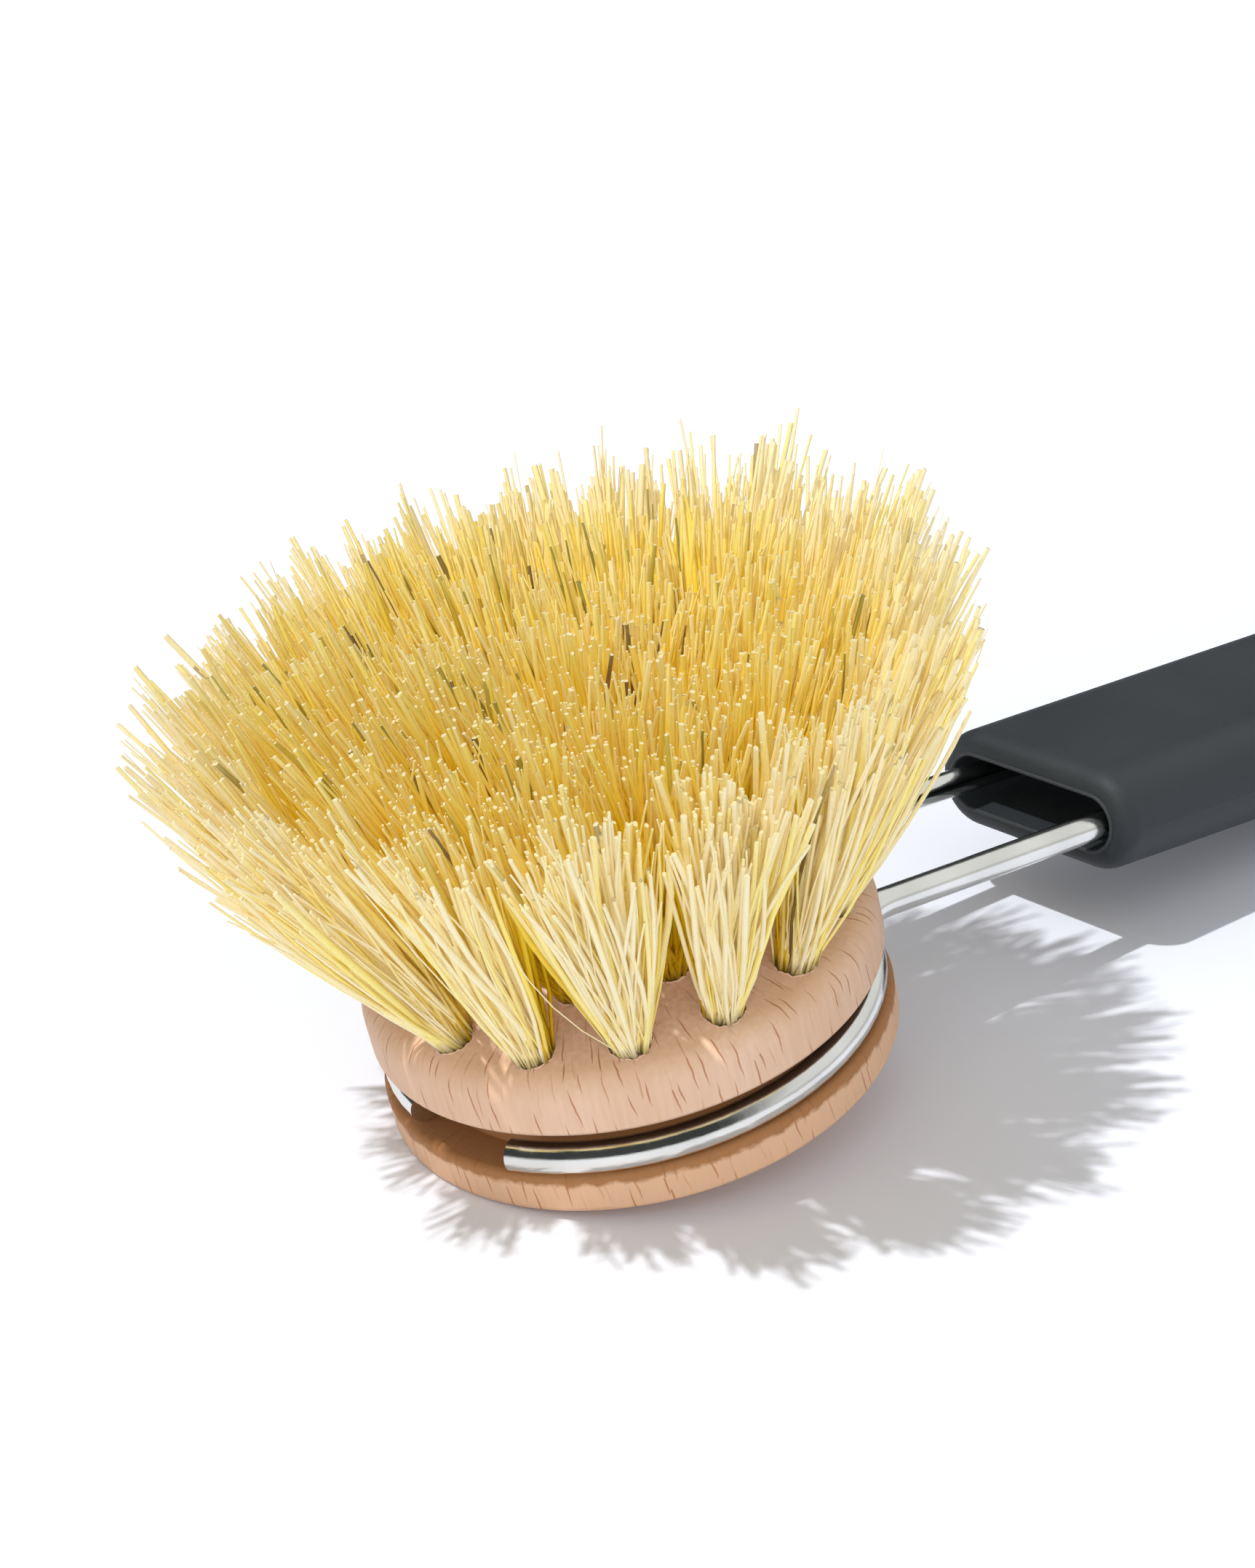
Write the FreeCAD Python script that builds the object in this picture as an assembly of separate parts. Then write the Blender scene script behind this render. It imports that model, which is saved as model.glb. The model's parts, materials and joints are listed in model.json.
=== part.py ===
"""Dish brush with a replaceable round wooden head, held in a bent wire handle with a silicone grip.

Everything is first laid out in the head's own frame: origin in the middle of the flat wooden back,
+Z along the head's axis towards the bristle tips, +X towards the handle. At the end the whole brush
is turned and set down the way it lies on a table, bristles up, on the rim of the head and the tail
of the grip.
"""
import FreeCAD
import Part

import math
import os

Vector = FreeCAD.Vector
X_AXIS = Vector(1, 0, 0)
Y_AXIS = Vector(0, 1, 0)
Z_AXIS = Vector(0, 0, 1)
ORIGIN = Vector(0, 0, 0)

# Turned wooden head
head_diameter = 50.0
flange_thickness = 4.1
groove_height = 4.4
groove_depth = 4.1
block_height = 10.0
crown_curve_radius = 71.0
shoulder_rounding = 2.6
rim_rounding = 0.7

# Bent wire handle
wire_diameter = 3.0
near_arm_slack = 0.9
near_arm_back_shift = 0.7
near_arm_side_shift = 0.2
near_arm_angle = 157.5
far_arm_slack = 0.35
far_arm_angle = 170.7
leg_spacing = 18.9
shoulder_bend_radius = 4.4
drop_bend_radius = 6.0
drop_angle = 14.42
bare_leg_length = 31.5
loop_reach = 14.0

# Silicone grip
grip_length = 149.0
grip_side_wall = 2.7
grip_flat_wall = 3.8
grip_tail_swell = 4.0
grip_mouth_rounding = 2.2
grip_tail_rounding = 4.5
pocket_side_flare = 0.35
pocket_flat_flare = 1.4
pocket_depth = 16.0

# Bristle tufts, set in rings around one centre tuft
tuft_edge_margin = 3.85
tufts_per_step = 5
ring_names = ("inner", "middle", "outer")
ring_phases = (20.0, 1.0, 18.0)
bristle_height = 27.9
trim_curve_radius = 230.0
tip_flare = 13.4
tip_bound_shares = (0.18, 0.44, 0.717, 1.0)
hole_diameter = 4.0
hole_depth = 6.0
tuft_collar = 0.5

# Flat metal anchors that hold the folded tufts at the bottom of their holes
anchor_bite = 0.4
anchor_width = 1.6
anchor_thickness = 0.4
fold_thickness = 1.0

# Clearances, and how far a cutting shape runs past what it cuts
running_clearance = 0.3
seat_clearance = 0.1
tuft_gap = 0.3
overrun = 2.0

# A rounding takes at most this share of the wall that it rounds
rounding_limit_share = 0.95

# Sizes that follow from the ones above
head_radius = head_diameter / 2
wire_radius = wire_diameter / 2
hole_radius = hole_diameter / 2
half_spacing = leg_spacing / 2
drop = math.radians(drop_angle)
groove_top = flange_thickness + groove_height
groove_floor_radius = head_radius - groove_depth
crown_height = groove_top + block_height
brush_height = crown_height + bristle_height
clip_height = flange_thickness + running_clearance + wire_radius
closed_clip_radius = groove_floor_radius + running_clearance + wire_radius
near_clip_radius = closed_clip_radius + near_arm_slack
far_clip_radius = closed_clip_radius + far_arm_slack
ring_pitch = (head_radius - tuft_edge_margin) / len(ring_names)
tip_reach = head_radius + tip_flare
tuft_radius = hole_radius - seat_clearance
anchor_length = hole_diameter + 2 * anchor_bite
slot_height = wire_diameter + 2 * seat_clearance
slot_width = leg_spacing + slot_height
grip_width = slot_width + 2 * grip_side_wall
grip_thickness = slot_height + 2 * grip_flat_wall
leg_length = bare_leg_length + grip_length
loop_start = leg_length + loop_reach - wire_radius - half_spacing
mouth_rounding = min(
    grip_mouth_rounding,
    rounding_limit_share * (grip_side_wall - pocket_side_flare),
    rounding_limit_share * (grip_flat_wall - pocket_flat_flare),
)
tail_rounding = min(
    grip_tail_rounding,
    rounding_limit_share * (grip_side_wall + grip_tail_swell / 2),
    rounding_limit_share * (grip_flat_wall + grip_tail_swell / 2),
)

# Where a leg leaves the bend at the rim, the corner from which it drops to the grip, and its direction
near_leg_inset = half_spacing - near_arm_side_shift
shoulder_centre_x = math.sqrt(
    (near_clip_radius + shoulder_bend_radius) ** 2 - (near_leg_inset + shoulder_bend_radius) ** 2
) - near_arm_back_shift
drop_tangent = drop_bend_radius * math.tan(drop / 2)
leg_corner = Vector(shoulder_centre_x + drop_tangent, 0, clip_height)
leg_direction = Vector(math.cos(drop), 0, -math.sin(drop))


def circle_point(radius, degrees, height):
    """Point on a level circle about the head's axis."""
    angle = math.radians(degrees)
    return Vector(radius * math.cos(angle), radius * math.sin(angle), height)


def sphere_height(crown, curve_radius, radius):
    """Height of a domed surface at a distance from the head's axis."""
    return crown - curve_radius + math.sqrt(curve_radius ** 2 - radius ** 2)


def edge_through(points):
    """Straight edge through two points, or an arc through three."""
    if len(points) == 2:
        return Part.LineSegment(*points).toShape()
    return Part.Arc(*points).toShape()


def turned_solid(spans):
    """Solid of revolution about the head's axis, from an outline of lines and arcs."""
    outline = Part.Wire([edge_through(points) for points in spans])
    return Part.Face(outline).revolve(ORIGIN, Z_AXIS, 360)


def rim_edges(solid, height):
    """Circular edges of the head at its full radius and at one height."""
    return [
        edge for edge in solid.Edges
        if edge.BoundBox.ZLength < seat_clearance
        and abs(edge.BoundBox.ZMax - height) < seat_clearance
        and abs(edge.BoundBox.XMax - head_radius) < seat_clearance
    ]


def head_blank():
    """Wooden head with its flange, its groove and its domed top, before drilling."""
    rim_height = sphere_height(crown_height, crown_curve_radius, head_radius)
    half_radius = head_radius / 2
    half_height = sphere_height(crown_height, crown_curve_radius, half_radius)
    corners = (
        Vector(0, 0, 0),
        Vector(head_radius, 0, 0),
        Vector(head_radius, 0, flange_thickness),
        Vector(groove_floor_radius, 0, flange_thickness),
        Vector(groove_floor_radius, 0, groove_top),
        Vector(head_radius, 0, groove_top),
        Vector(head_radius, 0, rim_height),
    )
    crown = Vector(0, 0, crown_height)
    spans = list(zip(corners, corners[1:]))
    spans.append((corners[-1], Vector(half_radius, 0, half_height), crown))
    spans.append((crown, corners[0]))
    blank = turned_solid(spans)
    shoulder_room = rounding_limit_share * (rim_height - groove_top)
    blank = blank.makeFillet(min(shoulder_rounding, shoulder_room), rim_edges(blank, rim_height))
    for height in (0, flange_thickness, groove_top):
        blank = blank.makeFillet(rim_rounding, rim_edges(blank, height))
    return blank


def tuft_places():
    """Name, ring number and angle of every tuft, the centre one first."""
    places = [("tuft_centre", 0, 0.0)]
    for ring, (name, phase) in enumerate(zip(ring_names, ring_phases), start=1):
        count = ring * tufts_per_step
        for index in range(count):
            places.append((f"tuft_{name}_{index + 1:02d}", ring, phase + 360.0 * index / count))
    return places


class TuftFrame:
    """Foot, direction and tip size of one tuft."""

    def __init__(self, ring, degrees):
        bounds = [share * tip_reach for share in tip_bound_shares]
        if ring == 0:
            tip_radius = 0.0
            self.half_depth = bounds[0] - tuft_gap / 2
            self.half_width = self.half_depth
        else:
            tip_radius = (bounds[ring - 1] + bounds[ring]) / 2
            self.half_depth = (bounds[ring] - bounds[ring - 1] - tuft_gap) / 2
            self.half_width = math.pi * tip_radius / (ring * tufts_per_step) - tuft_gap / 2
        foot_radius = ring * ring_pitch
        foot_height = sphere_height(crown_height, crown_curve_radius, foot_radius)
        tip_height = sphere_height(brush_height, trim_curve_radius, tip_radius)
        self.foot = circle_point(foot_radius, degrees, foot_height)
        tip = circle_point(tip_radius, degrees, tip_height)
        self.length = (tip - self.foot).Length
        self.axis = (tip - self.foot).normalize()
        self.across = circle_point(1, degrees + 90, 0)
        self.long_way = self.across
        if self.half_depth > self.half_width:
            self.long_way = self.across.cross(self.axis)

    def along(self, distance):
        """Point on the tuft's axis, measured from its foot."""
        return self.foot + self.axis * distance

    def circle(self, distance, radius):
        """Closed circle across the tuft, that starts where its oval starts."""
        curve = Part.Circle(self.along(distance), self.axis, radius)
        start = curve.parameter(self.along(distance) + self.long_way * radius)
        return Part.Wire(Part.Edge(curve, start, start + 2 * math.pi))

    def oval(self, distance, spread_share):
        """Closed oval across the tuft, as large as its tip times a share."""
        long_half = spread_share * max(self.half_width, self.half_depth)
        short_half = spread_share * min(self.half_width, self.half_depth)
        if long_half == short_half:
            return self.circle(distance, long_half)
        centre = self.along(distance)
        short_way = self.axis.cross(self.long_way)
        curve = Part.Ellipse(centre + self.long_way * long_half, centre + short_way * short_half, centre)
        return Part.Wire(curve.toShape())

    def anchor(self, clearance):
        """Flat plate across the hole, above the fold of the tuft."""
        length = anchor_length + 2 * clearance
        width = anchor_width + 2 * clearance
        thickness = anchor_thickness + 2 * clearance
        plate = Part.makeBox(length, thickness, width)
        plate.translate(Vector(-length / 2, -thickness / 2, -clearance))
        turn = FreeCAD.Rotation(self.across, self.axis.cross(self.across), self.axis, "XZY")
        plate.Placement = FreeCAD.Placement(
            self.along(fold_thickness - hole_depth), turn
        ).multiply(plate.Placement)
        return plate


def tuft_hole(frame):
    """Drilled hole of one tuft, with the slots that its anchor bites into the wood."""
    bore = Part.makeCylinder(hole_radius, hole_depth + overrun, frame.along(-hole_depth), frame.axis)
    return [bore, frame.anchor(seat_clearance / 2)]


def tuft_solid(frame, trim_dome):
    """One tuft: a round root in its hole, that fans out to a tip trimmed to the brush's dome."""
    spread_share = (frame.length + overrun) / frame.length
    sections = [
        frame.circle(seat_clearance - hole_depth, tuft_radius),
        frame.circle(tuft_collar, tuft_radius),
        frame.oval(frame.length + overrun, spread_share),
    ]
    fan = Part.makeLoft(sections, True, True)
    return fan.common(trim_dome).cut(frame.anchor(seat_clearance))


def arm_spans(side, end_angle, clip_radius, back_shift, side_shift):
    """One side of the wire, from its cut end round the groove and out to the start of its leg."""
    inset = half_spacing - side_shift
    reach = shoulder_centre_x + back_shift
    bend_radius = (reach ** 2 + inset ** 2 - clip_radius ** 2) / (2 * (clip_radius - inset))
    bend_centre = Vector(reach, inset + bend_radius, 0)
    join_angle = math.degrees(math.atan2(bend_centre.y, bend_centre.x))
    clip_centre = Vector(-back_shift, side * side_shift, 0)
    clip_points = [
        clip_centre + circle_point(clip_radius, side * degrees, clip_height)
        for degrees in (end_angle, (end_angle + join_angle) / 2, join_angle)
    ]
    turn_start = 180 + join_angle
    bend_points = [
        clip_centre + Vector(bend_centre.x, side * bend_centre.y, 0)
        + circle_point(bend_radius, side * degrees, clip_height)
        for degrees in (turn_start, (turn_start + 270) / 2, 270)
    ]
    across = Y_AXIS * (side * half_spacing)
    drop_centre = leg_corner - X_AXIS * drop_tangent - Z_AXIS * drop_bend_radius + across
    drop_points = [
        drop_centre + Vector(math.sin(angle), 0, math.cos(angle)) * drop_bend_radius
        for angle in (0, drop / 2, drop)
    ]
    leg_points = [drop_points[-1], leg_corner + leg_direction * loop_start + across]
    return [clip_points, bend_points, drop_points, leg_points]


def wire_handle():
    """Wire from one cut end, along both legs and the hanging loop, to the other cut end."""
    near = arm_spans(-1, near_arm_angle, near_clip_radius, near_arm_back_shift, near_arm_side_shift)
    far = arm_spans(1, far_arm_angle, far_clip_radius, 0, 0)
    loop_centre = leg_corner + leg_direction * loop_start
    loop_points = [
        loop_centre
        + leg_direction * (half_spacing * math.cos(math.radians(degrees)))
        + Y_AXIS * (half_spacing * math.sin(math.radians(degrees)))
        for degrees in (-90, -45, 0, 45, 90)
    ]
    spans = near + [loop_points[:3], loop_points[2:]]
    spans += [list(reversed(points)) for points in reversed(far)]
    edges = [edge_through(points) for points in spans]
    path = Part.Wire(edges)
    start_way = edges[0].tangentAt(edges[0].FirstParameter)
    section = Part.Wire(Part.makeCircle(wire_radius, spans[0][0], start_way))
    solid = path.makePipeShell([section], True, False)
    expected = math.pi * wire_radius ** 2 * path.Length
    print(f"wire length {path.Length:.1f} mm, volume over section times length {solid.Volume / expected:.4f}")
    return solid


def flat_oval(distance, width, thickness):
    """Section of the grip across the legs: straight top and bottom, round sides."""
    half = thickness / 2
    reach = width / 2 - half
    diagonal = half * math.sqrt(0.5)
    spans = []
    for side in (1, -1):
        top = Vector(distance, side * reach, side * half)
        outer = Vector(distance, side * (reach + half), 0)
        bottom = Vector(distance, side * reach, -side * half)
        upper_mid = Vector(distance, side * (reach + diagonal), side * diagonal)
        lower_mid = Vector(distance, side * (reach + diagonal), -side * diagonal)
        spans.append((Vector(distance, -side * reach, side * half), top))
        spans.append((top, upper_mid, outer))
        spans.append((outer, lower_mid, bottom))
    return Part.Wire([edge_through(points) for points in spans])


def end_edges(solid, distance):
    """Edges of a grip that lie in the plane across the legs at a distance."""
    return [
        edge for edge in solid.Edges
        if edge.BoundBox.XLength < seat_clearance
        and abs(edge.BoundBox.XMin - distance) < seat_clearance
    ]


def grip_sleeve():
    """Silicone sleeve over both legs, with a flared pocket at its mouth."""
    mouth = bare_leg_length
    tail = leg_length
    sleeve = Part.makeLoft([
        flat_oval(mouth, grip_width, grip_thickness),
        flat_oval(tail, grip_width + grip_tail_swell, grip_thickness + grip_tail_swell),
    ], True, True)
    sleeve = sleeve.makeFillet(tail_rounding, end_edges(sleeve, tail))
    sleeve = sleeve.makeFillet(mouth_rounding, end_edges(sleeve, mouth))
    slot = Part.makeLoft([
        flat_oval(mouth - overrun, slot_width, slot_height),
        flat_oval(tail + overrun, slot_width, slot_height),
    ], True, True)
    flare_share = (pocket_depth + overrun) / pocket_depth
    pocket = Part.makeLoft([
        flat_oval(
            mouth - overrun,
            slot_width + 2 * pocket_side_flare * flare_share,
            slot_height + 2 * pocket_flat_flare * flare_share,
        ),
        flat_oval(mouth + pocket_depth, slot_width, slot_height),
    ], True, True)
    sleeve = sleeve.cut(slot).cut(pocket)
    sleeve.Placement = FreeCAD.Placement(leg_corner, FreeCAD.Rotation(Y_AXIS, drop_angle))
    return sleeve


def rest_turn():
    """Angle of the head's back to the table, with the rim and the grip's tail both down on it."""
    leg_up = Vector(math.sin(drop), 0, math.cos(drop))
    rim_centre = Vector(rim_rounding - head_radius, 0, rim_rounding)
    tail_centre = (
        leg_corner
        + leg_direction * (leg_length - tail_rounding)
        - leg_up * ((grip_thickness + grip_tail_swell) / 2 - tail_rounding)
    )
    span = tail_centre - rim_centre
    slope = math.atan2(span.z, span.x) + math.asin((rim_rounding - tail_rounding) / span.Length)
    return -math.degrees(slope)


def build():
    """All pieces by node name, in the head's frame."""
    trim_dome = Part.makeSphere(trim_curve_radius, Vector(0, 0, brush_height - trim_curve_radius))
    frames = {name: TuftFrame(ring, degrees) for name, ring, degrees in tuft_places()}
    holes = [shape for frame in frames.values() for shape in tuft_hole(frame)]
    pieces = {
        "wooden_head": head_blank().cut(holes),
        "wire_handle": wire_handle(),
        "grip_sleeve": grip_sleeve(),
        "tuft_anchors": Part.makeCompound([frame.anchor(0) for frame in frames.values()]),
    }
    for name, frame in frames.items():
        pieces[name] = tuft_solid(frame, trim_dome)
    return pieces


def set_down(pieces):
    """Turn the pieces as the brush lies, and put the origin under the middle of its length."""
    turn = FreeCAD.Placement(ORIGIN, FreeCAD.Rotation(Y_AXIS, -rest_turn()))
    for shape in pieces.values():
        shape.Placement = turn.multiply(shape.Placement)
    boxes = [shape.optimalBoundingBox(False, False) for shape in pieces.values()]
    low = Vector(min(box.XMin for box in boxes), 0, min(box.ZMin for box in boxes))
    middle = (low.x + max(box.XMax for box in boxes)) / 2
    shift = FreeCAD.Placement(Vector(-middle, 0, -low.z), FreeCAD.Rotation())
    for shape in pieces.values():
        shape.Placement = shift.multiply(shape.Placement)
    return shift.multiply(turn)


def main():
    pieces = build()
    laid = set_down(pieces)
    os.makedirs("parts", exist_ok=True)
    for name, shape in pieces.items():
        shape.exportStep(f"parts/{name}.step")
    print(f"rest turn {rest_turn():.3f} degrees")
    for label, point in (
        ("head origin", ORIGIN),
        ("leg corner", leg_corner),
        ("grip mouth", leg_corner + leg_direction * bare_leg_length),
        ("grip tail", leg_corner + leg_direction * leg_length),
        ("loop end", leg_corner + leg_direction * (leg_length + loop_reach)),
    ):
        place = laid.multVec(point)
        print(f"{label} {place.x:.4f} {place.y:.4f} {place.z:.4f}")


main()
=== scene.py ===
import json
import math
import random

import bpy
from bpy.props import (
    FloatProperty,
    FloatVectorProperty,
    IntProperty,
    PointerProperty,
)
from mathutils import Matrix, Vector


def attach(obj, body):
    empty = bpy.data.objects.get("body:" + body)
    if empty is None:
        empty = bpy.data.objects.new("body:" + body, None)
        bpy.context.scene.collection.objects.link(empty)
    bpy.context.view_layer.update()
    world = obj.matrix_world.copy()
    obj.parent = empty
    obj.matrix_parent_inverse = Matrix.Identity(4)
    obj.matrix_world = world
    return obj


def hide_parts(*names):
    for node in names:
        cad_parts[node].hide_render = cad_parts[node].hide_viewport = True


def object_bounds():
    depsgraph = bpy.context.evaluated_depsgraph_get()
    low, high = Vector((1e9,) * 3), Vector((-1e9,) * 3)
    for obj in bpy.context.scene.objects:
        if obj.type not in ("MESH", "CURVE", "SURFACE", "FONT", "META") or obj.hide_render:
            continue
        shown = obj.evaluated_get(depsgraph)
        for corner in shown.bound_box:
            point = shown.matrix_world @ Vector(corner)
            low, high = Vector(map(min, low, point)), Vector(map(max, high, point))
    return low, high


bl_info = {
    "name": "Dish brush",
    "version": (1, 0, 0),
    "blender": (4, 5, 0),
    "location": "3D View > Sidebar > Dish brush",
    "description": "Grows the bristles and finishes the wood, wire and grip of a dish brush",
    "category": "Object",
}

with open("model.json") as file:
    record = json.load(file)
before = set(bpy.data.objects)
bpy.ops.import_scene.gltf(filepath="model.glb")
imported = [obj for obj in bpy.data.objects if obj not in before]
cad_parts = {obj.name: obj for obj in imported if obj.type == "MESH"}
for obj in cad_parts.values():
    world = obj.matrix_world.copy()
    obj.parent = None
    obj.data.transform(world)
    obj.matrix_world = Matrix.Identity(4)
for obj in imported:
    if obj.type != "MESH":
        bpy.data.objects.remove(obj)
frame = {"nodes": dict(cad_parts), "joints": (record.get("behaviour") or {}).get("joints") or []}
cad_low, cad_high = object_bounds()

# The head's own axes, from the joint it turns on
spin_joint = next(joint for joint in frame["joints"] if joint["child"] == "head")
head_centre = Vector(spin_joint["pos_m"])
head_axis = Vector(spin_joint["axis"]).normalized()
head_tilt = math.atan2(-head_axis.x, head_axis.z)
head_place = Matrix.Translation(head_centre) @ Matrix.Rotation(-head_tilt, 4, "Y")

# The mouth of the grip, seen along the legs
grip_slope = math.radians(2.704)
grip_mouth = Vector((-0.0310820, 0.0, 0.0142160))
legs_way = Vector((math.cos(grip_slope), 0.0, -math.sin(grip_slope)))
across_legs = Vector((0.0, 1.0, 0.0))
above_legs = legs_way.cross(across_legs)
mouth_turn = Matrix((across_legs, above_legs, across_legs.cross(above_legs))).transposed()
mouth_place = Matrix.Translation(grip_mouth) @ mouth_turn.to_4x4()

# Rings of tufts: name, tufts, first angle in degrees, tip bounds as shares of the tip reach
tuft_rings = (
    ("centre", 1, 0.0, 0.0, 0.18),
    ("inner", 5, 20.0, 0.18, 0.44),
    ("middle", 10, 1.0, 0.44, 0.717),
    ("outer", 15, 18.0, 0.717, 1.0),
)
# Tufts that lean further out than their ring, or less far, and by how much
splayed = {
    "outer_01": 0.0026,
    "outer_02": 0.0018,
    "outer_05": 0.0008,
    "outer_06": 0.0012,
    "outer_07": 0.0008,
    "outer_09": -0.0012,
    "outer_14": 0.002,
    "outer_15": 0.0044,
}
# How much fuller a tuft is than its share of the brush, and the side of the head that has the fullest
inner_fullness = (1.12, 1.24)
outer_fullness = (1.0, 1.1)
full_side = math.radians(25)
full_side_gain = 0.24
thin_side_loss = 0.05
deepest_fullness = 1.16
# Side of the head whose tips stand highest
high_side = math.radians(115)
# Settings that are the same for every tuft
shared_settings = (
    "fibre_width",
    "width_spread",
    "hole_reach",
    "crown_top",
    "crown_radius",
    "trim_radius",
    "tip_scatter",
    "shortfall",
    "clump",
    "clump_size",
    "sway",
    "crossing",
    "stray_share",
)
# What differs from tuft to tuft
fibres_spread = 8
reach_spread = (-0.0006, 0.0008)
trim_spread = (-0.0009, 0.0006)
seed_step = 100
# Turn from the foot of one fibre to the next, which fills a hole evenly
golden_turn = math.pi * (3 - math.sqrt(5))

# Heights on the wooden head, above its back, between which one finish gives way to the next; the
# groove's heights bound painted shade, the crown's painted light
flange_edge = (0.0046, 0.0036)
groove_floor = (0.0029, 0.0034)
groove_shade = (0.0064, 0.0082)
groove_ceiling = (0.0090, 0.0085)
crown_light_edge = (0.0145, 0.0165)
groove_ragged = 0.0004
# Flecks: radius they are laid out at, where they fade inwards, how far they waver, and their soft edge
head_radius = 0.025
fleck_fade = (0.016, 0.0225)
fleck_waver = 0.00012
fleck_blur = (-0.00003, 0.00005)

# Ways that the sun's light and the soft light beside the camera fall
sun_way = (0.3882, -0.1040, -0.9157)
fill_way = (0.55, 0.68, -0.48)
# Colours of the room that polished metal mirrors
room_pale = (0.87, 0.87, 0.86)
room_dark = (0.05, 0.055, 0.055)

# Where the camera stands, and its own axes
camera_place = (-0.242704, -0.196277, 0.134594)
camera_right = (0.76675, -0.63994, -0.05076)
camera_up = (0.27725, 0.25880, 0.92529)
camera_back = (-0.57899, -0.72353, 0.37586)
camera_sensor = 36.0
camera_nearest = 0.005


def colour(name, note, red, green, blue):
    """A colour setting that a user can change."""
    return FloatVectorProperty(
        name=name,
        description=note,
        subtype="COLOR",
        size=3,
        min=0,
        max=1,
        default=(red, green, blue),
    )


def length(name, note, default):
    """A length setting, in metres."""
    return FloatProperty(
        name=name,
        description=note,
        unit="LENGTH",
        precision=5,
        min=0,
        default=default,
    )


def share(name, note, default):
    """A share setting, from nothing to all."""
    return FloatProperty(
        name=name,
        description=note,
        subtype="FACTOR",
        min=0,
        max=1,
        default=default,
    )


def strength(name, note, default):
    """A setting for the strength of a light."""
    return FloatProperty(name=name, description=note, min=0, default=default)


def angle_setting(name, note, default):
    """An angle setting, in radians."""
    return FloatProperty(name=name, description=note, subtype="ANGLE", default=default)


class BristleSettings(bpy.types.PropertyGroup):
    """Sizes and colours of the plant fibre, with its painted light and shade."""

    fibres: IntProperty(
        name="Fibres per tuft",
        description="Fibre ends that stand in one hole",
        min=10,
        max=400,
        default=250,
    )
    seed: IntProperty(
        name="Seed",
        description="Another seed gives another brush of the same kind",
        min=0,
        default=7,
    )
    fibre_width: length("Fibre width", "Usual thickness of one fibre", 0.00036)
    width_spread: share("Width spread", "How much the thickness differs from fibre to fibre", 0.45)
    hole_reach: length("Hole reach", "How far from a hole's middle its fibres stand", 0.0018)
    ring_pitch: length("Ring pitch", "Distance from one ring of holes to the next", 0.00705)
    crown_top: length("Crown top", "Height of the wooden crown above the back", 0.0185)
    crown_radius: length("Crown radius", "Radius of the wooden crown's curve", 0.071)
    brush_height: length("Brush height", "Height of the middle tips above the wooden back", 0.0453)
    trim_radius: length("Trim radius", "Radius of the curve that the tips are trimmed to", 0.800)
    trim_tilt: length("Trim tilt", "How much higher the highest tips are than the middle ones", 0.0014)
    tip_reach: length("Tip reach", "How far the outer tips stand from the head's axis", 0.0384)
    tip_scatter: length("Tip scatter", "How far the shortest tips stand below the trim", 0.004)
    shortfall: share("Shortfall", "Share of its length that the shortest fibre lacks", 0.42)
    clump: length("Clump", "How far fibres lean together into clumps", 0.0033)
    clump_size: length("Clump size", "Usual distance from one clump to the next", 0.0042)
    sway: length("Sway", "How far a fibre bows between its foot and its tip", 0.0009)
    crossing: angle_setting("Crossing", "How far a fibre wanders round its tuft, across others", 1.15)
    stray_share: share("Stray share", "Share of thin fibres that stand out of their tuft", 0.035)
    pale: colour("Pale", "Palest fibres", 0.955, 0.868, 0.60)
    straw: colour("Straw", "Most fibres", 0.96, 0.846, 0.32)
    gold: colour("Gold", "Deeper yellow fibres", 0.93, 0.755, 0.145)
    green: colour("Green", "The few green fibres", 0.28, 0.27, 0.04)
    brown: colour("Brown", "The few brown fibres", 0.17, 0.09, 0.035)
    # Painted light: depth tints the inner fibres in place of the light passed on between them
    depth: colour("Depth", "Tint of the light passed on between the fibres", 0.965, 0.855, 0.03)
    low: colour("Low", "Shaded fibre low down between the tufts", 0.66, 0.50, 0.26)
    # Painted shade: foot darkens the fibres deep in the hole
    foot: colour("Foot", "Dark fibre deep in the hole", 0.20, 0.12, 0.02)
    # Painted shade on the upward-facing cut ends, which catch the most light
    cap_shade: colour("Cut end", "Dry cut tips", 0.70, 0.63, 0.39)


class WoodSettings(bpy.types.PropertyGroup):
    """Colours and grain of the beech, with the painted shade of the groove and the painted light of
    the crown.
    """

    pale: colour("Pale wood", "Lighter wood between the flecks", 0.80, 0.565, 0.415)
    warm: colour("Warm wood", "Darker wood between the flecks", 0.70, 0.455, 0.30)
    # Painted light: the crown's pale colour stands in for light falling between the tufts
    crown: colour("Crown", "Pale wood of the crown", 0.97, 0.75, 0.61)
    flange: colour("Flange", "Warmer wood of the flange", 0.76, 0.46, 0.265)
    fleck: colour("Fleck", "Short brown flecks along the grain", 0.48, 0.19, 0.085)
    # Painted shade: these two colours paint the shade in the groove, the shadow of the block's edge on
    # the flange top, and the darker underside of that edge
    groove: colour("Groove", "Rough wood inside the groove", 0.37, 0.16, 0.052)
    groove_roof_shade: colour("Groove roof", "Dark wood under the groove's upper edge", 0.11, 0.05, 0.022)
    hole_radius: length("Hole radius", "Radius of a hole's torn rim", 0.00205)
    burr_size: length("Burr size", "Size of the torn wood round a hole", 0.0003)
    fleck_width: length("Fleck width", "Distance across a fleck", 0.00017)
    fleck_length: length("Fleck length", "Length of the longest flecks", 0.0056)
    fleck_pitch: length("Fleck pitch", "Usual distance round the head from fleck to fleck", 0.0015)
    fleck_rise: length("Fleck rise", "Usual distance up the head from fleck to fleck", 0.0044)


class MetalSettings(bpy.types.PropertyGroup):
    """Finish of the wire and of the tuft anchors."""

    wire: colour("Wire", "Polished steel wire", 0.80, 0.80, 0.77)
    anchor: colour("Anchor", "Flat strip that holds a tuft", 0.60, 0.59, 0.56)


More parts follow.
